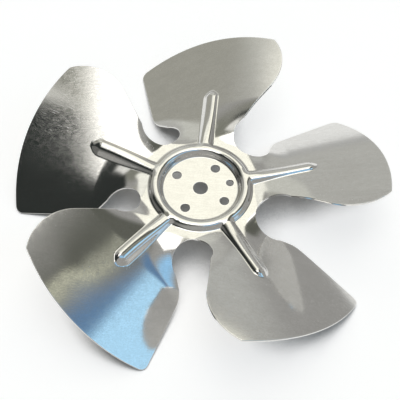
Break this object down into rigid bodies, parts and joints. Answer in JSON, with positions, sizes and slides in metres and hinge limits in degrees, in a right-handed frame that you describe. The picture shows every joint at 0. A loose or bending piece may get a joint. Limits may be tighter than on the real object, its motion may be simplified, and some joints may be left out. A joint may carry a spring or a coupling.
{
  "type": "fan blade",
  "caption": "Pressed aluminium axial fan blade: pitched, ribbed blades round a sunk hub disc with a ring bead, a bore and bolt holes.",
  "frame": {"origin": "centre of the bore on the hub's rear face", "axes": "+Z out of the front face, on which the ribs and the ring bead stand up; +X along the rib that lines up with the small locating hole"},
  "size_m": [0.1694, 0.1705, 0.0348],
  "materials": {
    "aluminium": "bright rolled sheet, lightly scuffed"
  },
  "bodies": {
    "root": {"fan_blade": "aluminium"}
  },
  "joints": []
}
